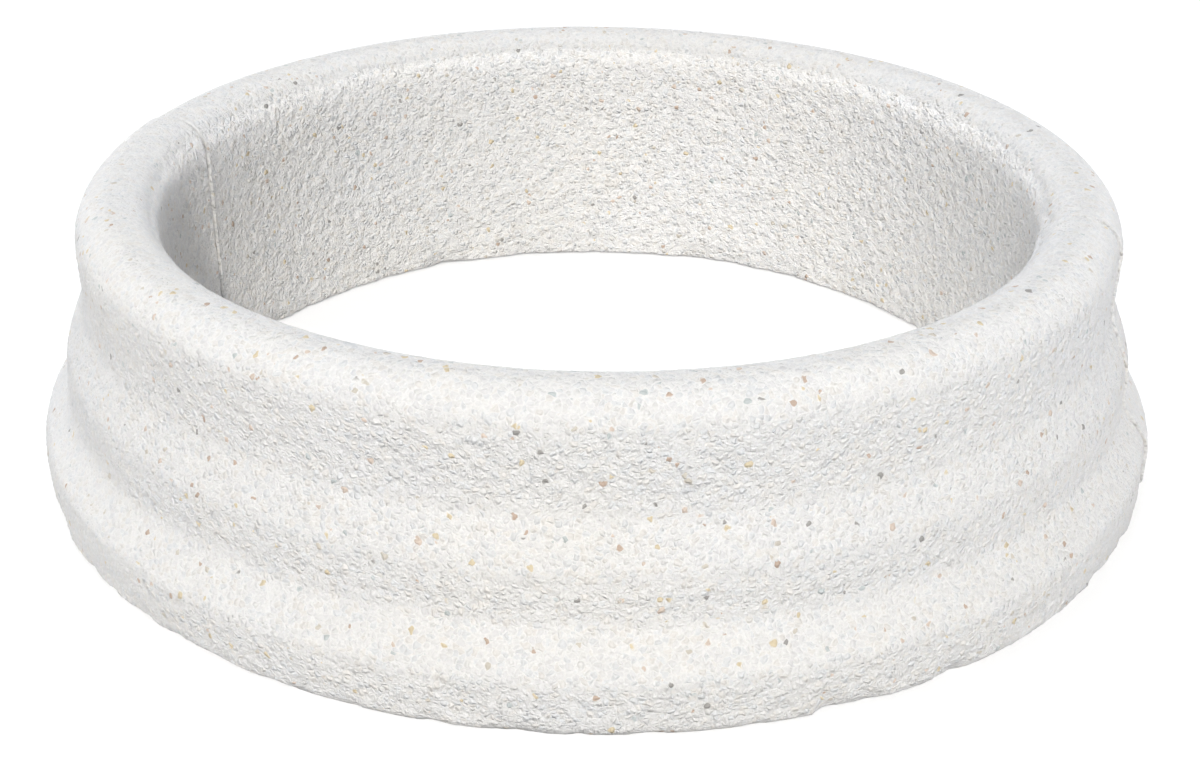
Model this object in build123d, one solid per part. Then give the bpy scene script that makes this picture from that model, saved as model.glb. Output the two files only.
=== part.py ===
from build123d import *
import os

# A raised ring that stands round the foot of a tree. It is cast in washed-aggregate
# concrete as two equal half rings, laid on the ground with their flat ends together.
# All sizes are in millimetres. The origin is on the ground, in the middle of the ring,
# and the joint between the halves runs along the X axis.

outer_diameter = 1000.0

# Heights of the tiers, from the ground up. Together they make the ring's height.
flange_height = 46.0
lower_slope_rise = 34.0
middle_face_height = 32.0
upper_slope_rise = 51.0
rim_height = 87.0

# How far each tier stands back from the flange's face.
lower_cove_setback = 26.5
middle_roll_setback = 25.0
upper_cove_setback = 46.5
rim_setback = 43.5

# The lip is round over nearly its whole thickness. The inner wall leans outwards
# towards the top by the draft, so that the casting leaves its mould.
lip_thickness = 74.0
lip_crown = 2.0
bore_draft = 6.0

# The foot's outer edge is taken off on the slant, and its inner edge is square.
foot_chamfer = 10.0

# Roundings of the profile.
flange_roll_radius = 30.0
lower_cove_radius = 30.0
middle_roll_radius = 62.0
upper_cove_radius = 48.0

# The halves aren't laid quite in line: each is shifted this far along the joint.
joint_shift = 1.5


def ring_profile():
    """The wall's section, in the plane through the joint."""
    flange_radius = outer_diameter / 2
    lower_cove_edge = flange_radius - lower_cove_setback
    middle_roll_edge = flange_radius - middle_roll_setback
    upper_cove_edge = flange_radius - upper_cove_setback
    rim_edge = flange_radius - rim_setback
    bore_at_lip = rim_edge - lip_thickness
    bore_at_foot = bore_at_lip - bore_draft
    lip_radius = (lip_thickness - lip_crown) / 2

    lower_cove_level = flange_height + lower_slope_rise
    middle_roll_level = lower_cove_level + middle_face_height
    upper_cove_level = middle_roll_level + upper_slope_rise
    top = upper_cove_level + rim_height

    corners = [
        (bore_at_foot, 0),
        (flange_radius - foot_chamfer, 0),
        (flange_radius, foot_chamfer),
        (flange_radius, flange_height),
        (lower_cove_edge, lower_cove_level),
        (middle_roll_edge, middle_roll_level),
        (upper_cove_edge, upper_cove_level),
        (rim_edge, top),
        (bore_at_lip, top),
    ]
    roundings = [
        0,
        0,
        0,
        flange_roll_radius,
        lower_cove_radius,
        middle_roll_radius,
        upper_cove_radius,
        lip_radius,
        lip_radius,
    ]
    with BuildSketch(Plane.XZ) as profile:
        with BuildLine():
            FilletPolyline(*corners, radius=roundings, close=True)
        make_face()
    return profile.sketch


def half_ring():
    """One casting: the section turned through half a circle, with flat ends."""
    with BuildPart() as casting:
        add(ring_profile())
        revolve(axis=Axis.Z, revolution_arc=180)
    return casting.part


# Both halves leave the same mould. The front one is turned half round.
back_half_ring = Pos(joint_shift, 0, 0) * half_ring()
front_half_ring = Rot(0, 0, 180) * back_half_ring

os.makedirs("parts", exist_ok=True)
export_step(back_half_ring, "parts/back_half_ring.step")
export_step(front_half_ring, "parts/front_half_ring.step")
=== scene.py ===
import math
import bmesh
import bpy
import numpy as np
from mathutils import Matrix, Vector
from mathutils.geometry import tessellate_polygon


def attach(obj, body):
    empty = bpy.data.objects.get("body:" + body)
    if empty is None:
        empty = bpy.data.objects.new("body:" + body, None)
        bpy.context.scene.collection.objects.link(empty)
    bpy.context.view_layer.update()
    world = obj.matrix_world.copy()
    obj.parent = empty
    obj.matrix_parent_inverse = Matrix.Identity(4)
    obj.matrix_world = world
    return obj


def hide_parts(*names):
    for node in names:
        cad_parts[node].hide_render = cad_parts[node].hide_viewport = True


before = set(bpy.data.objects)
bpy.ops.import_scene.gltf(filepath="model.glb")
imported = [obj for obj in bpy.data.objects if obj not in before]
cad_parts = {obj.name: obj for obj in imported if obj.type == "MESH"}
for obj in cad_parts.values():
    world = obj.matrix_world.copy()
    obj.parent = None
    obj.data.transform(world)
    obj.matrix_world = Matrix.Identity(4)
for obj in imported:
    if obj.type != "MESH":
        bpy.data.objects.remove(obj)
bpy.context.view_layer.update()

# A raised ring that stands round the foot of a tree, cast in washed-aggregate concrete as two
# half rings. Metres throughout, +Z up, the joint between the halves along X.

mm = 0.001


def linearColour(hexCode):
    # sRGB hex, as a colour picker gives it, to the linear values that the shaders want
    channels = [int(hexCode[i:i + 2], 16) / 255 for i in (1, 3, 5)]
    return [c / 12.92 if c <= 0.04045 else ((c + 0.055) / 1.055) ** 2.4 for c in channels] + [1.0]


def addNode(tree, kind, settings=None, links=None):
    # settings: attributes, or input sockets by name or number; links: input socket to output socket
    node = tree.nodes.new(kind)
    for key, value in (settings or {}).items():
        if isinstance(key, int) or key in node.inputs:
            node.inputs[key].default_value = value
        else:
            setattr(node, key, value)
    for key, source in (links or {}).items():
        tree.links.new(source, node.inputs[key])
    return node


# noise on the mesh's own points

cellPrimes = (73856093, 19349663, 83492791)            # one for each axis, so that no two cells agree
bitMixing = ((16, 2246822507), (13, 3266489909))       # shift, factor


def hashed(cells, seed):
    # one repeatable random number from 0 to 1 for each whole-number cell
    c = cells.astype(np.int64).astype(np.uint32)
    x, y, z = (c[..., axis] * np.uint32(prime) for axis, prime in enumerate(cellPrimes))
    h = x ^ y ^ z ^ np.uint32(seed * 2654435 + 97)
    for shift, factor in bitMixing:
        h = (h ^ (h >> np.uint32(shift))) * np.uint32(factor)
    return (h ^ (h >> np.uint32(16))).astype(np.float64) / 4294967295.0


def softNoise(points, size, seed):
    # smooth noise from -1 to 1 with blobs of about that size
    p = points / size
    cell = np.floor(p)
    f = p - cell
    f = f * f * (3 - 2 * f)
    total = np.zeros(len(points))
    for corner in np.ndindex(2, 2, 2):
        k = np.array(corner)
        weight = np.prod(np.where(k == 1, f, 1 - f), axis=1)
        total += weight * hashed(cell + k, seed)
    return total * 2 - 1


def nearestStones(points, size, seed):
    # distance to the nearest and second nearest of scattered stones, in stone sizes
    p = points / size
    cell = np.floor(p)
    near = np.full(len(points), 9.0)
    second = near.copy()
    for step in np.ndindex(3, 3, 3):
        c = cell + np.array(step) - 1
        spot = c + np.stack([hashed(c, seed + i) for i in range(3)], axis=1)
        d = np.linalg.norm(p - spot, axis=1)
        second = np.where(d < near, near, np.minimum(second, d))
        near = np.minimum(near, d)
    return near, second


# the casting: both halves come from one mould

ringSizes = {
    "outerRadius": 500 * mm,
    "wallMiddle": 440 * mm,     # radius of the middle of the wall
    "tierHeights": [46 * mm, 34 * mm, 32 * mm, 51 * mm, 87 * mm],   # flange, slope, face, slope, rim
    "setbacks": [26.5 * mm, 25 * mm, 46.5 * mm, 43.5 * mm],         # cove, middle roll, cove, rim
    "roundings": [30 * mm, 30 * mm, 62 * mm, 48 * mm],              # flange roll, cove, roll, cove
    "lipThickness": 74 * mm,
    "lipRadius": 36 * mm,
    "boreDraft": 6 * mm,        # the inner wall leans outwards by this, to leave the mould
    "footRadius": 8 * mm,       # the worn outer edge on the ground
    "innerFootRadius": 4 * mm,
    "jointShift": 1.5 * mm,     # the halves lie this far out of line, each to its own side
    "jointGap": 0.25 * mm,      # each flat end stands back this far from the joint
    "arrisRadius": 1.1 * mm,    # rounding of the edges at the flat ends
    "arrisUnevenness": 0.35,    # share by which that rounding varies
}

surfaceRelief = {
    "pointSpacing": 3.05 * mm,
    "undersideSpacing": 9 * mm,
    "endColumns": [0, 0.25, 0.6, 1.1, 1.9, 3.4, 5.6],   # millimetres from a flat end
    "sink": 0.9 * mm,           # keeps the relief inside the cast size
    "unevenness": [(120 * mm, 0.7 * mm), (34 * mm, 0.35 * mm)],   # blob size, height
    "stoneSize": 7.6 * mm,
    "stoneHeight": 0.9 * mm,
    "grit": 0.16 * mm,
    "smoothFrom": (0.4, 0.08),  # upward lean at which the smooth tops begin: inner side, outer side
    "smoothWithin": 0.55,       # and how much more lean makes them wholly smooth
    "innerExtra": 0.4,          # the inner wall is washed this much deeper
    "calmAtJoint": 6 * mm,      # the stones flatten out this close to a flat end
    "undersideLevel": 0.15 * mm,
    "undersideGrit": 0.35 * mm,
    "footWear": 6 * mm,
    "footWearHeight": 14 * mm,
    "footWearSizes": (42 * mm, 15 * mm),
}


def sectionCorners(s):
    # radius, height and rounding of each corner of the wall's section
    levels = np.cumsum(s["tierHeights"])
    outer = s["outerRadius"]
    edges = [outer - b for b in s["setbacks"]]
    lipInside = edges[3] - s["lipThickness"]
    return [
        (lipInside - s["boreDraft"], 0, s["innerFootRadius"]),
        (outer, 0, s["footRadius"]),
        (outer, levels[0], s["roundings"][0]),
        (edges[0], levels[1], s["roundings"][1]),
        (edges[1], levels[2], s["roundings"][2]),
        (edges[2], levels[3], s["roundings"][3]),
        (edges[3], levels[4], s["lipRadius"]),
        (lipInside, levels[4], s["lipRadius"]),
    ]


def sectionPath(corners):
    # fine points round the closed section, each corner an arc that meets its sides smoothly
    arcStep, fewestSteps = math.radians(2), 6
    path = []
    for i, (x, z, radius) in enumerate(corners):
        here = np.array([x, z])
        before = np.array(corners[i - 1][:2]) - here
        after = np.array(corners[(i + 1) % len(corners)][:2]) - here
        before /= np.linalg.norm(before)
        after /= np.linalg.norm(after)
        half = math.acos(np.clip(before @ after, -1, 1)) / 2
        centre = here + (before + after) / np.linalg.norm(before + after) * radius / math.sin(half)
        start = here + before * radius / math.tan(half) - centre
        end = here + after * radius / math.tan(half) - centre
        a0, a1 = math.atan2(start[1], start[0]), math.atan2(end[1], end[0])
        turn = (a1 - a0 + math.pi) % (2 * math.pi) - math.pi
        steps = max(fewestSteps, int(abs(turn) / arcStep))
        for k in range(steps + 1):
            a = a0 + turn * k / steps
            path.append(centre + radius * np.array([math.cos(a), math.sin(a)]))
    return np.array(path)


def sectionRows(s, relief):
    # evenly spaced points round the section, with the outward direction at each
    path = sectionPath(sectionCorners(s))
    closed = np.vstack([path, path[:1]])
    along = np.concatenate([[0], np.cumsum(np.linalg.norm(np.diff(closed, axis=0), axis=1))])
    fineStep = 0.1 * mm
    fine = np.arange(0, along[-1], fineStep)
    pts = np.stack([np.interp(fine, along, closed[:, i]) for i in range(2)], axis=1)
    onGround = pts[:, 1] < 0.05 * mm
    density = np.where(onGround, 1 / relief["undersideSpacing"], 1 / relief["pointSpacing"])
    count = np.cumsum(density) * fineStep
    rows = int(count[-1])
    places = (np.arange(rows) + 0.5) * count[-1] / rows
    pick = np.interp(places, count, np.arange(len(fine))).astype(int)
    reach = 25    # fine steps to each side, over which the direction is taken
    way = np.roll(pts, -reach, axis=0) - np.roll(pts, reach, axis=0)
    outward = np.stack([way[:, 1], -way[:, 0]], axis=1)
    outward /= np.linalg.norm(outward, axis=1)[:, None]
    return pts[pick], outward[pick]


def columnAngles(s, relief):
    # angles across the half circle, closer together at the flat ends for their rounded edges
    radius = s["wallMiddle"]
    close = np.array(relief["endColumns"]) * mm / radius + s["jointGap"] / radius
    first = close[-1] + relief["pointSpacing"] / radius
    columns = int((math.pi - 2 * first) * radius / relief["pointSpacing"]) + 1
    middle = np.linspace(first, math.pi - first, columns)
    return np.concatenate([close, middle, math.pi - close[::-1]])


def smoothness(outward, relief):
    # tops of the lip, roll and flange are nearly smooth, and steep faces are washed deep
    innerStart, outerStart = relief["smoothFrom"]
    start = np.where(outward[:, 0] < 0, innerStart, outerStart)
    up = np.clip((outward[:, 1] - start) / relief["smoothWithin"], 0, 1)
    return up * up * (3 - 2 * up)


def surfaceLift(base, smooth, inner, fromEnd, relief, seed):
    # how far each point stands out from the cast face: slow unevenness, stones and grit
    near, second = nearestStones(base, relief["stoneSize"], seed)
    ownHeight = 0.5 + 0.5 * hashed(np.floor(base / relief["stoneSize"]), seed + 9)
    stones = np.clip((second - near) * 1.6, 0, 1) * ownHeight
    fade = np.clip(fromEnd / relief["calmAtJoint"], 0.08, 1)    # both halves meet at one level
    washedDepth = 1 - 0.72 * smooth + relief["innerExtra"] * inner
    lift = -relief["sink"] + np.zeros(len(base))
    for i, (size, height) in enumerate(relief["unevenness"]):
        lift += height * softNoise(base, size, seed + 20 + i) * 0.5 - height * 0.5
    lift += (stones - 0.7) * relief["stoneHeight"] * washedDepth * fade
    grains = hashed(np.round(base / (0.1 * mm)), seed + 31) - 0.5
    return lift + grains * relief["grit"] * (1 - 0.6 * smooth)


def footMove(base, fromAxis, fromEnd, s, relief, seed):
    # both edges of the foot are worn uneven, which moves them sideways into the wall
    lowDown = np.exp(-(base[:, 2] / relief["footWearHeight"]) ** 2)
    atEdge = np.clip((fromAxis - s["wallMiddle"]) / (40 * mm), -1, 1) * lowDown
    flat = base * [1, 1, 0]
    bigBites, smallBites = (softNoise(flat, size, seed + 40 + i)
                            for i, size in enumerate(relief["footWearSizes"]))
    bite = np.clip(bigBites - 0.1, 0, 1) + 0.45 * np.clip(smallBites, 0, 1)
    return -atEdge * relief["footWear"] * bite * np.clip(fromEnd / relief["calmAtJoint"], 0, 1)


def halfRingSkin(backwards, seed):
    # the points of one casting, its quads, its rows and columns, and for each point how deep it is
    # washed and how much painted shade its gaps take
    s, relief = ringSizes, surfaceRelief
    rows, outward = sectionRows(s, relief)
    angles = columnAngles(s, relief)
    turned = angles + (math.pi if backwards else 0)
    side = -1 if backwards else 1
    n, m = len(rows), len(angles)
    cosA, sinA = np.cos(turned)[:, None], np.sin(turned)[:, None]
    smooth = np.tile(smoothness(outward, relief), (m, 1)).ravel()
    inner = np.tile(np.clip(-outward[:, 0] * 1.6 - 0.3, 0, 1), (m, 1)).ravel() * (1 - smooth)

    radii, levels = rows[:, 0][None, :], rows[:, 1][None, :]
    base = np.stack([radii * cosA + side * s["jointShift"], radii * sinA,
                     np.broadcast_to(levels, (m, n))], axis=-1).reshape(-1, 3)
    facing = np.stack([outward[:, 0] * cosA, outward[:, 0] * sinA,
                       np.broadcast_to(outward[:, 1], (m, n))], axis=-1).reshape(-1, 3)

    # the flat ends meet at the joint, so they stay flat and only their edges are rounded
    endAngle = np.minimum(angles, math.pi - angles)[:, None]
    fromEnd = (endAngle * np.broadcast_to(rows[:, 0], (m, n)) - s["jointGap"]).ravel()
    worn = s["arrisRadius"] * (1 + s["arrisUnevenness"] * softNoise(base, 14 * mm, seed + 3))
    t = np.clip(worn - fromEnd, 0, None)
    endDrop = worn - np.sqrt(np.clip(worn ** 2 - t ** 2, 0, None))

    lift = surfaceLift(base, smooth, inner, fromEnd, relief, seed)
    underGrit = relief["undersideGrit"] * hashed(np.round(base / mm), seed + 50)
    lift = np.where(base[:, 2] < 0.3 * mm, -relief["undersideLevel"] - underGrit, lift)
    lift -= endDrop
    points = base + facing * lift[:, None]
    points[:, 2] = np.clip(points[:, 2], 0.0, None)

    fromAxis = np.hypot(base[:, 0], base[:, 1])
    move = footMove(base, fromAxis, fromEnd, s, relief, seed)
    points[:, :2] += base[:, :2] / fromAxis[:, None] * move[:, None]

    # a tube of quads: rows round the section, columns round the half circle
    i, j = np.meshgrid(np.arange(n), np.arange(m - 1), indexing="xy")
    a = (j * n + i).ravel()
    b = (j * n + (i + 1) % n).ravel()
    quads = np.stack([a, b, b + n, a + n], axis=1)
    atJoint = 0.8    # the cast edge at the joint, neither washed deep nor smooth
    offJoint = np.clip(fromEnd / (2.5 * mm), 0, 1)
    depth = 1 - smooth + relief["innerExtra"] * inner
    depth = atJoint + (depth - atJoint) * offJoint
    # where painted shade darkens the gaps between the chips: the steep outer faces, away from the joint
    gapShadeMask = (1 - smooth) * np.tile(outward[:, 0] > 0, m) * offJoint
    return points, quads, n, m, depth, gapShadeMask


def endCap(points, ring):
    # a flat end: triangles between the points of one section
    flat = [Vector((math.hypot(*points[k][:2]), points[k][2], 0)) for k in ring]
    return [[ring[k] for k in triangle] for triangle in tessellate_polygon([flat])]


def buildHalf(name, node, backwards, seed, material):
    points, quads, n, m, depth, gapShadeMask = halfRingSkin(backwards, seed)
    caps = endCap(points, list(range(n))) + endCap(points, list(range((m - 1) * n, m * n)))
    mesh = bpy.data.meshes.new(name)
    mesh.from_pydata(points.tolist(), [], quads.tolist() + caps)
    mesh.update()
    bm = bmesh.new()
    bm.from_mesh(mesh)
    bmesh.ops.recalc_face_normals(bm, faces=bm.faces)
    bm.to_mesh(mesh)
    bm.free()
    for label, values in (("washed", depth), ("gapShadeMask", gapShadeMask)):
        layer = mesh.attributes.new(label, "FLOAT", "POINT")
        layer.data.foreach_set("value", values.astype(np.float32))
    rounded = np.ones(len(mesh.polygons), dtype=bool)
    rounded[len(quads):] = False    # the flat ends are shaded flat
    mesh.polygons.foreach_set("use_smooth", rounded)
    mesh.materials.append(material)
    half = bpy.data.objects.new(name, mesh)
    bpy.context.scene.collection.objects.link(half)
    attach(half, "root")
    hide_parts(node)
    mesh.calc_loop_triangles()
    print(name, "triangles", len(mesh.loop_triangles))


# White marble chips of 3 to 8 mm in white cement. The fresh face is washed before it hardens, which
# leaves the chips standing proud: a matt white with soft shadows between the chips on the steep
# faces. On the tops, where less was washed off, thin pale lines of cement show round them.
concreteLook = {
    "chipSize": 4.9 * mm,
    "chipWobble": (3.6 * mm, 3.0 * mm),     # blob size and reach of what makes the chips irregular
    "gritSize": 1.7 * mm,                   # the real sand is finer, and would not show
    "whites": ["#EAE9E8", "#E8E7E7", "#ECEBEA", "#EBE8E4", "#E7E8E9", "#EBEAE8"],
    "cement": "#F6F5F3",
    "coloured": [                           # ochre, pink, brown, buff, grey blue and grey chips
        (0.0, "#E2D3B4"), (0.26, "#E0CFC1"), (0.46, "#CBB6A5"),
        (0.58, "#D9D2C6"), (0.74, "#CCD2D2"), (0.9, "#A9A7A3"),
    ],
    "colouredShare": 0.034,
    "paintedGapShade": "#C4C3C1",                       # painted shade, deep between the chips
    "gapShade": 0.38,                       # share of that colour in the gaps of the steep outer faces
    "warmTint": "#FFFDF9",
    "coolTint": "#FAFBFD",
    "cloudSize": 160 * mm,                  # patches of the warm and the cool tint
    "paintedTopShade": "#E1E1E1",                      # painted shade, most on the tops, less on the outer faces, none on the inner wall, which gets less light
    "roughness": 0.82,
    "ior": 1.48,
    "reliefDepth": 3.6 * mm,
    "bumpStrength": (0.57, 0.78),           # on the smooth tops, on faces that are washed deep
    "lumpSize": 10 * mm,
    "lumpHeight": 1.6,                      # heights here are in chip heights
    "gritHeight": 0.12,
    "chipHeights": (0.4, 0.42),             # least height, and how much more the proudest has
    "chipTilt": 11 * mm,                    # across this a fully tilted chip rises by its height
}


def chipRelief(tree, look, coords, bent, chips, seams, grit, lot, washed):
    # rounded chips, some proud and some deep, each tilted its own way, with grit between
    least, spread = look["chipHeights"]
    offset = addNode(tree, "ShaderNodeVectorMath", {"operation": "SUBTRACT"},
                     {0: bent, 1: chips.outputs["Position"]})
    lean = addNode(tree, "ShaderNodeVectorMath", {"operation": "SUBTRACT", 1: (0.5, 0.5, 0.5)},
                   {0: chips.outputs["Color"]})
    tilt = addNode(tree, "ShaderNodeVectorMath", {"operation": "DOT_PRODUCT"},
                   {0: offset.outputs[0], 1: lean.outputs[0]})
    dome = addNode(tree, "ShaderNodeMapRange",
                   {"interpolation_type": "SMOOTHSTEP", 1: 0.0, 2: 0.55, 3: 0.0, 4: 1.0},
                   {0: seams.outputs[0]})
    tall = addNode(tree, "ShaderNodeMath", {"operation": "MULTIPLY_ADD", 1: spread, 2: least},
                   {0: lot.outputs[0]})
    crown = addNode(tree, "ShaderNodeMapRange",
                    {"interpolation_type": "SMOOTHSTEP", 1: 0.8, 2: 0.0, 3: 0.35, 4: 1.0},
                    {0: chips.outputs["Distance"]})
    chipTop = addNode(tree, "ShaderNodeMath", {"operation": "MULTIPLY"},
                      {0: dome.outputs[0], 1: tall.outputs[0]})
    chipTop = addNode(tree, "ShaderNodeMath", {"operation": "MULTIPLY"},
                      {0: chipTop.outputs[0], 1: crown.outputs[0]})
    chipTop = addNode(tree, "ShaderNodeMath", {"operation": "MULTIPLY_ADD", 1: 1 / look["chipTilt"]},
                      {0: tilt.outputs["Value"], 2: chipTop.outputs[0]})
    gritTop = addNode(tree, "ShaderNodeMapRange", {1: 0.3, 2: 0.75, 3: 0.0, 4: 0.25},
                      {0: grit.outputs["Fac"]})
    both = addNode(tree, "ShaderNodeMath", {"operation": "SMOOTH_MAX", 2: 0.08},
                   {0: chipTop.outputs[0], 1: gritTop.outputs[0]})
    lumps = addNode(tree, "ShaderNodeTexNoise", {"Scale": 1 / look["lumpSize"], "Detail": 1.0},
                    {"Vector": coords})
    height = addNode(tree, "ShaderNodeMath", {"operation": "MULTIPLY_ADD", 1: look["lumpHeight"]},
                     {0: lumps.outputs["Fac"], 2: both.outputs[0]})
    height = addNode(tree, "ShaderNodeMath", {"operation": "MULTIPLY_ADD", 1: look["gritHeight"]},
                     {0: grit.outputs["Fac"], 2: height.outputs[0]})
    onTops, onSteep = look["bumpStrength"]
    strength = addNode(tree, "ShaderNodeMapRange",
                       {"clamp": False, 1: 0.0, 2: 1.0, 3: onTops, 4: onSteep}, {0: washed})
    return addNode(tree, "ShaderNodeBump", {"Distance": look["reliefDepth"]},
                   {"Height": height.outputs[0], "Strength": strength.outputs[0]})


def chipColour(tree, look, coords, chips, seams, grit, lot, washed):
    # nearly all chips are whites, and a few are coloured, with ragged cores
    whites = addNode(tree, "ShaderNodeValToRGB", {}, {0: lot.outputs[0]})
    coloured = addNode(tree, "ShaderNodeValToRGB", {}, {0: lot.outputs[1]})
    stops = [(i / len(look["whites"]), code) for i, code in enumerate(look["whites"])]
    for ramp, places in ((whites.color_ramp, stops), (coloured.color_ramp, look["coloured"])):
        ramp.interpolation = "CONSTANT"
        while len(ramp.elements) < len(places):
            ramp.elements.new(0.99)
        for element, (place, code) in zip(ramp.elements, places):
            element.position = place
            element.color = linearColour(code)
    isColoured = addNode(tree, "ShaderNodeMath", {"operation": "LESS_THAN", 1: look["colouredShare"]},
                         {0: lot.outputs[2]})
    ragged = addNode(tree, "ShaderNodeMath", {"operation": "MULTIPLY_ADD", 1: 0.3},
                     {0: grit.outputs["Fac"], 2: chips.outputs["Distance"]})
    ragged = addNode(tree, "ShaderNodeMath", {"operation": "MULTIPLY_ADD", 1: -0.34},
                     {0: lot.outputs[0], 2: ragged.outputs[0]})
    inside = addNode(tree, "ShaderNodeMapRange", {1: 0.56, 2: 0.48, 3: 0.0, 4: 1.0},
                     {0: ragged.outputs[0]})
    core = addNode(tree, "ShaderNodeMath", {"operation": "MULTIPLY"},
                   {0: isColoured.outputs[0], 1: inside.outputs[0]})
    stone = addNode(tree, "ShaderNodeMix", {"data_type": "RGBA"},
                    {0: core.outputs[0], 6: whites.outputs[0], 7: coloured.outputs[0]})

    # cement shows as a film where chips meet
    film = addNode(tree, "ShaderNodeMapRange",
                   {"interpolation_type": "SMOOTHSTEP", 1: 0.03, 2: 0.18, 3: 0.65, 4: 0.0},
                   {0: seams.outputs[0]})
    colour = addNode(tree, "ShaderNodeMix", {"data_type": "RGBA", 7: linearColour(look["cement"])},
                     {0: film.outputs[0], 6: stone.outputs[2]})

    # painted shade: the deep gaps of the steep outer faces are coloured darker, as the shade between
    # the chips
    gapShadeMask = addNode(tree, "ShaderNodeAttribute", {"attribute_name": "gapShadeMask"}).outputs["Fac"]
    steep = addNode(tree, "ShaderNodeMapRange", {1: 0.45, 2: 1.0, 3: 0.0, 4: look["gapShade"]},
                    {0: gapShadeMask})
    paintedGapShade = addNode(tree, "ShaderNodeMapRange",
                  {"interpolation_type": "SMOOTHSTEP", 1: 0.02, 2: 0.22, 3: 1.0, 4: 0.0},
                  {0: seams.outputs[0]})
    paintedGapShade = addNode(tree, "ShaderNodeMath", {"operation": "MULTIPLY"},
                  {0: paintedGapShade.outputs[0], 1: steep.outputs[0]})
    colour = addNode(tree, "ShaderNodeMix", {"data_type": "RGBA", 7: linearColour(look["paintedGapShade"])},
                     {0: paintedGapShade.outputs[0], 6: colour.outputs[2]})

    # slow patches of a warmer and a cooler tint, and painted shade that darkens the tops and the outer
    # faces
    cloudy = addNode(tree, "ShaderNodeTexNoise", {"Scale": 1 / look["cloudSize"], "Detail": 2.0},
                     {"Vector": coords})
    tint = addNode(tree, "ShaderNodeMix",
                   {"data_type": "RGBA", 6: linearColour(look["coolTint"]),
                    7: linearColour(look["warmTint"])}, {0: cloudy.outputs["Fac"]})
    tinted = addNode(tree, "ShaderNodeMix", {"data_type": "RGBA", "blend_type": "MULTIPLY", 0: 1.0},
                     {6: colour.outputs[2], 7: tint.outputs[2]})
    # painted shade: full on the tops, less on the steep outer faces, none on the inner wall
    paintedTopShadeShare = addNode(tree, "ShaderNodeMapRange", {1: 0.85, 2: 1.5, 3: 1.0, 4: 0.0}, {0: washed})
    return addNode(tree, "ShaderNodeMix",
                   {"data_type": "RGBA", "blend_type": "MULTIPLY", 7: linearColour(look["paintedTopShade"])},
                   {0: paintedTopShadeShare.outputs[0], 6: tinted.outputs[2]}).outputs[2]


def washedConcrete(look):
    material = bpy.data.materials.new("washedMarbleConcrete")
    material.use_nodes = True
    tree = material.node_tree
    tree.nodes.clear()
    coords = addNode(tree, "ShaderNodeTexCoord").outputs["Object"]
    wobbleSize, wobbleReach = look["chipWobble"]
    wobble = addNode(tree, "ShaderNodeTexNoise", {"Scale": 1 / wobbleSize, "Detail": 0.0},
                     {"Vector": coords})
    bent = addNode(tree, "ShaderNodeVectorMath", {"operation": "MULTIPLY_ADD", 1: (wobbleReach,) * 3},
                   {0: wobble.outputs["Color"], 2: coords}).outputs[0]
    bent = addNode(tree, "ShaderNodeVectorMath", {"operation": "MULTIPLY", 1: (1, 1, 1.06)},
                   {0: bent}).outputs[0]    # the chips lie a little flat
    chips = addNode(tree, "ShaderNodeTexVoronoi", {"feature": "F1", "Scale": 1 / look["chipSize"]},
                    {"Vector": bent})
    second = addNode(tree, "ShaderNodeTexVoronoi", {"feature": "F2", "Scale": 1 / look["chipSize"]},
                     {"Vector": bent})
    seams = addNode(tree, "ShaderNodeMath", {"operation": "SUBTRACT"},
                    {0: second.outputs["Distance"], 1: chips.outputs["Distance"]})
    grit = addNode(tree, "ShaderNodeTexNoise", {"Scale": 1 / look["gritSize"], "Detail": 0.6},
                   {"Vector": coords})
    lot = addNode(tree, "ShaderNodeSeparateColor", {}, {0: chips.outputs["Color"]})
    washed = addNode(tree, "ShaderNodeAttribute", {"attribute_name": "washed"}).outputs["Fac"]
    bump = chipRelief(tree, look, coords, bent, chips, seams, grit, lot, washed)
    colour = chipColour(tree, look, coords, chips, seams, grit, lot, washed)
    surface = addNode(tree, "ShaderNodeBsdfPrincipled",
                      {"Roughness": look["roughness"], "IOR": look["ior"]},
                      {"Base Color": colour, "Normal": bump.outputs["Normal"]})
    addNode(tree, "ShaderNodeOutputMaterial", {}, {"Surface": surface.outputs[0]})
    return material


concrete = washedConcrete(concreteLook)
print("concrete made")
buildHalf("frontHalfCasting", "front_half_ring", True, 11, concrete)
buildHalf("backHalfCasting", "back_half_ring", False, 52, concrete)
print("castings made")

# floor, light and camera

floorLook = {
    "halfWidth": 30,
    "colour": "#C8C8C8",
    "whiteShare": 0.42,     # white that the camera sees in the floor, over its own shading
    "whiteFrom": 1.2,       # metres from the middle, where it starts to turn wholly white
    "whiteAt": 5.0,
}

skyLook = {
    "colour": "#F1F4FB",
    "zenith": 0.07,
    "front": 0.08,          # added high over the camera
    "back": 0.08,           # added high behind the ring
    "horizon": 0.15,
    "horizonRight": 18.0,   # low bright bands, as from long strip lamps
    "horizonLeft": 15.0,
    "horizonBack": 13.0,
    "horizonTop": 0.14,     # sine of the height at which the bands end
}

lamps = {
    "key": {"azimuth": 279.0, "elevation": 40.0, "distance": 14.0, "size": 0.9,
            "strength": 0.83, "colour": "#FFFDF9"},
    "left": {"azimuth": 214.0, "elevation": 40.0, "distance": 12.0, "size": 3.0,
             "strength": 0.16, "colour": "#FBFCFF"},
    "right": {"azimuth": 314.0, "elevation": 42.0, "distance": 12.0, "size": 3.0,
              "strength": 0.17, "colour": "#FBFCFF"},
    "top": {"azimuth": 120.0, "elevation": 60.0, "distance": 10.0, "size": 6.0,
            "strength": 0.48, "colour": "#F2F7FF"},
}


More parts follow.
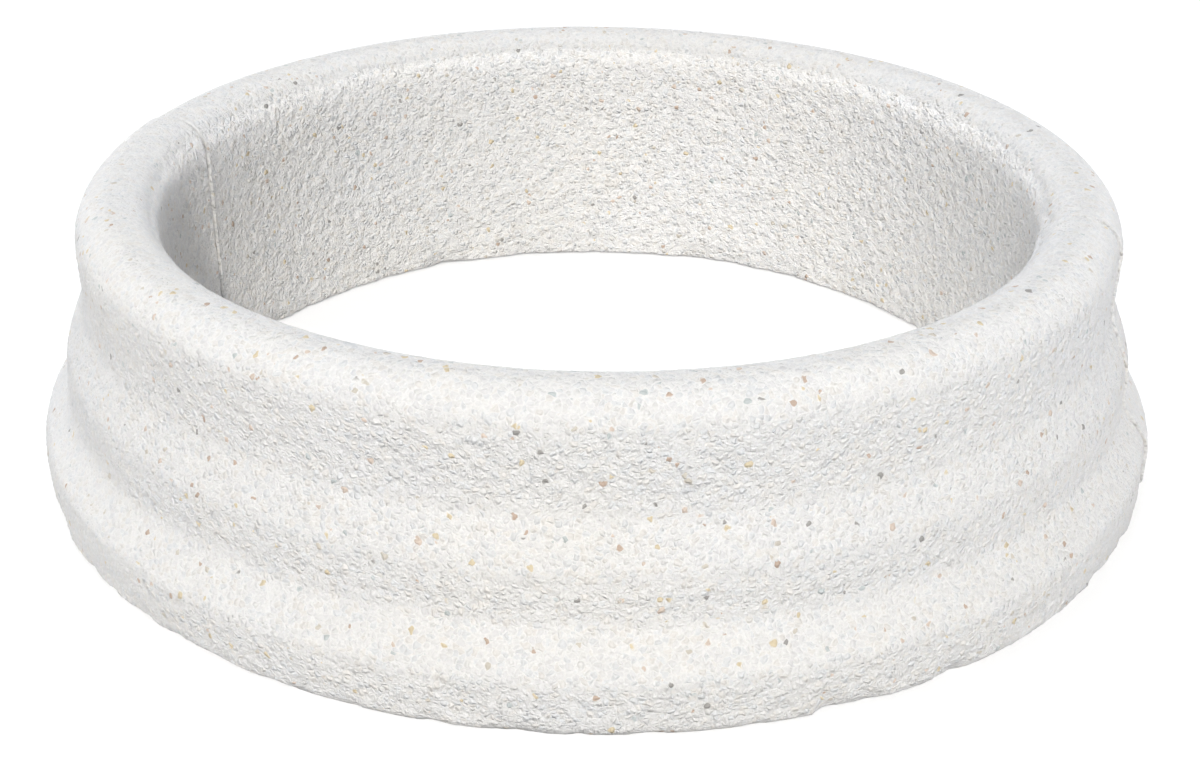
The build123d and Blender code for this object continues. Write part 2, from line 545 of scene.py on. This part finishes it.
def seenDirectly(tree):
    # 1 for the rays that show a backdrop: from the camera, in a reflection or through glass
    rays = addNode(tree, "ShaderNodeLightPath")
    seen = addNode(tree, "ShaderNodeMath", {"operation": "MAXIMUM"},
                   {0: rays.outputs["Is Camera Ray"], 1: rays.outputs["Is Glossy Ray"]})
    return addNode(tree, "ShaderNodeMath", {"operation": "MAXIMUM"},
                   {0: seen.outputs[0], 1: rays.outputs["Is Transmission Ray"]}).outputs[0]


def makeFloor(s):
    w = s["halfWidth"]
    mesh = bpy.data.meshes.new("paleFloor")
    mesh.from_pydata([(-w, -w, 0), (w, -w, 0), (w, w, 0), (-w, w, 0)], [], [(0, 1, 2, 3)])
    floor = bpy.data.objects.new("paleFloor", mesh)
    bpy.context.scene.collection.objects.link(floor)
    material = bpy.data.materials.new("paleStudioFloor")
    material.use_nodes = True
    tree = material.node_tree
    tree.nodes.clear()
    spot = addNode(tree, "ShaderNodeTexCoord").outputs["Object"]
    away = addNode(tree, "ShaderNodeVectorMath", {"operation": "LENGTH"}, {0: spot})
    share = addNode(tree, "ShaderNodeMapRange",
                    {1: s["whiteFrom"], 2: s["whiteAt"], 3: s["whiteShare"], 4: 1.0},
                    {0: away.outputs["Value"]})
    glow = addNode(tree, "ShaderNodeMath", {"operation": "MULTIPLY"},
                   {0: share.outputs[0], 1: seenDirectly(tree)})
    matt = addNode(tree, "ShaderNodeBsdfDiffuse", {"Color": linearColour(s["colour"])})
    white = addNode(tree, "ShaderNodeEmission", {"Color": (1, 1, 1, 1)}, {"Strength": glow.outputs[0]})
    both = addNode(tree, "ShaderNodeAddShader", {}, {0: matt.outputs[0], 1: white.outputs[0]})
    addNode(tree, "ShaderNodeOutputMaterial", {}, {"Surface": both.outputs[0]})
    mesh.materials.append(material)


def makeWorld(s):
    # a dim soft sky, with bright bands low down at the sides and the back, and white as a backdrop
    world = bpy.data.worlds.new("studioSky")
    bpy.context.scene.world = world
    world.use_nodes = True
    tree = world.node_tree
    tree.nodes.clear()
    way = addNode(tree, "ShaderNodeTexCoord").outputs["Generated"]
    split = addNode(tree, "ShaderNodeSeparateXYZ", {}, {0: way})
    low = addNode(tree, "ShaderNodeMapRange",
                  {"interpolation_type": "SMOOTHSTEP", 1: s["horizonTop"], 2: 0.0, 3: 0.0, 4: 1.0},
                  {0: split.outputs["Z"]})
    toSide = addNode(tree, "ShaderNodeMath", {"operation": "POWER", 1: 4.0}, {0: split.outputs["X"]})
    share = addNode(tree, "ShaderNodeMapRange",
                    {1: -0.2, 2: 0.2, 3: s["horizonLeft"], 4: s["horizonRight"]},
                    {0: split.outputs["X"]})
    side = addNode(tree, "ShaderNodeMath", {"operation": "MULTIPLY_ADD", 2: s["horizon"]},
                   {0: toSide.outputs[0], 1: share.outputs[0]})
    toBack = addNode(tree, "ShaderNodeMapRange",
                     {"interpolation_type": "SMOOTHSTEP", 1: 0.35, 2: 1.0, 3: 0.0, 4: s["horizonBack"]},
                     {0: split.outputs["Y"]})
    side = addNode(tree, "ShaderNodeMath", {"operation": "ADD"},
                   {0: side.outputs[0], 1: toBack.outputs[0]})
    bands = addNode(tree, "ShaderNodeMath", {"operation": "MULTIPLY"},
                    {0: low.outputs[0], 1: side.outputs[0]})
    overCamera = addNode(tree, "ShaderNodeVectorMath",
                         {"operation": "DOT_PRODUCT", 1: (0.0, -0.86, 0.5)}, {0: way})
    behindRing = addNode(tree, "ShaderNodeVectorMath",
                         {"operation": "DOT_PRODUCT", 1: (0.0, 0.6, 0.8)}, {0: way})
    front = addNode(tree, "ShaderNodeMapRange",
                    {"interpolation_type": "SMOOTHSTEP", 1: 0.3, 2: 0.95,
                     3: s["zenith"], 4: s["zenith"] + s["front"]}, {0: overCamera.outputs["Value"]})
    back = addNode(tree, "ShaderNodeMapRange",
                   {"interpolation_type": "SMOOTHSTEP", 1: 0.55, 2: 1.0, 3: 0.0, 4: s["back"]},
                   {0: behindRing.outputs["Value"]})
    total = addNode(tree, "ShaderNodeMath", {"operation": "ADD"},
                    {0: bands.outputs[0], 1: front.outputs[0]})
    total = addNode(tree, "ShaderNodeMath", {"operation": "ADD"},
                    {0: total.outputs[0], 1: back.outputs[0]})
    sky = addNode(tree, "ShaderNodeBackground", {"Color": linearColour(s["colour"])},
                  {"Strength": total.outputs[0]})
    white = addNode(tree, "ShaderNodeBackground", {"Color": (1, 1, 1, 1), "Strength": 1.0})
    mixed = addNode(tree, "ShaderNodeMixShader", {},
                    {0: seenDirectly(tree), 1: sky.outputs[0], 2: white.outputs[0]})
    addNode(tree, "ShaderNodeOutputWorld", {}, {"Surface": mixed.outputs[0]})


def makeLamp(name, s):
    lamp = bpy.data.lights.new(name, "AREA")
    lamp.shape = "DISK"
    lamp.size = s["size"]
    lamp.color = linearColour(s["colour"])[:3]
    # watts at which a white surface square to the lamp shows that share of full white
    lamp.energy = s["strength"] * math.pi * math.pi * s["distance"] ** 2
    a, e = math.radians(s["azimuth"]), math.radians(s["elevation"])
    way = Vector((math.cos(a) * math.cos(e), math.sin(a) * math.cos(e), math.sin(e)))
    holder = bpy.data.objects.new(name + "Lamp", lamp)
    holder.location = way * s["distance"] + Vector((0, 0, 0.1))    # aimed at the ring's middle
    holder.rotation_euler = way.to_track_quat("Z", "Y").to_euler()
    bpy.context.scene.collection.objects.link(holder)


cameraSetup = {
    "focalPixels": 1867.7,      # in a frame of that many pixels across:
    "frameWidth": 1200,
    "sensorWidth": 36.0,
    "distance": 1.7685,
    "elevation": 27.95,
    "pitch": 27.24,
    "yaw": 0.09,
    "roll": 0.72,
    "azimuth": 15.3,            # how far the view stands round from facing the joint square on
}


def makeCamera(s):
    camera = bpy.data.cameras.new("photoCamera")
    camera.sensor_fit = "HORIZONTAL"
    camera.sensor_width = s["sensorWidth"]
    camera.lens = s["focalPixels"] / s["frameWidth"] * s["sensorWidth"]
    camera.clip_end = 100
    e, p, y, r = (math.radians(s[k]) for k in ("elevation", "pitch", "yaw", "roll"))
    spot = Vector((0, -s["distance"] * math.cos(e), s["distance"] * math.sin(e)))
    ahead = Vector((math.sin(y) * math.cos(p), math.cos(y) * math.cos(p), -math.sin(p)))
    right = ahead.cross(Vector((0, 0, 1))).normalized()
    up = right.cross(ahead)
    right, up = right * math.cos(r) + up * math.sin(r), up * math.cos(r) - right * math.sin(r)
    turn = Matrix.Rotation(math.radians(s["azimuth"]), 4, "Z")
    basis = Matrix((right, up, -ahead)).transposed().to_4x4()
    holder = bpy.data.objects.new("photoCamera", camera)
    holder.matrix_world = turn @ Matrix.Translation(spot) @ basis
    bpy.context.scene.collection.objects.link(holder)
    bpy.context.scene.camera = holder


makeFloor(floorLook)
makeWorld(skyLook)
for lampName, lampSetup in lamps.items():
    makeLamp(lampName, lampSetup)
makeCamera(cameraSetup)
bpy.context.scene.view_settings.view_transform = "Standard"
print("studio made")
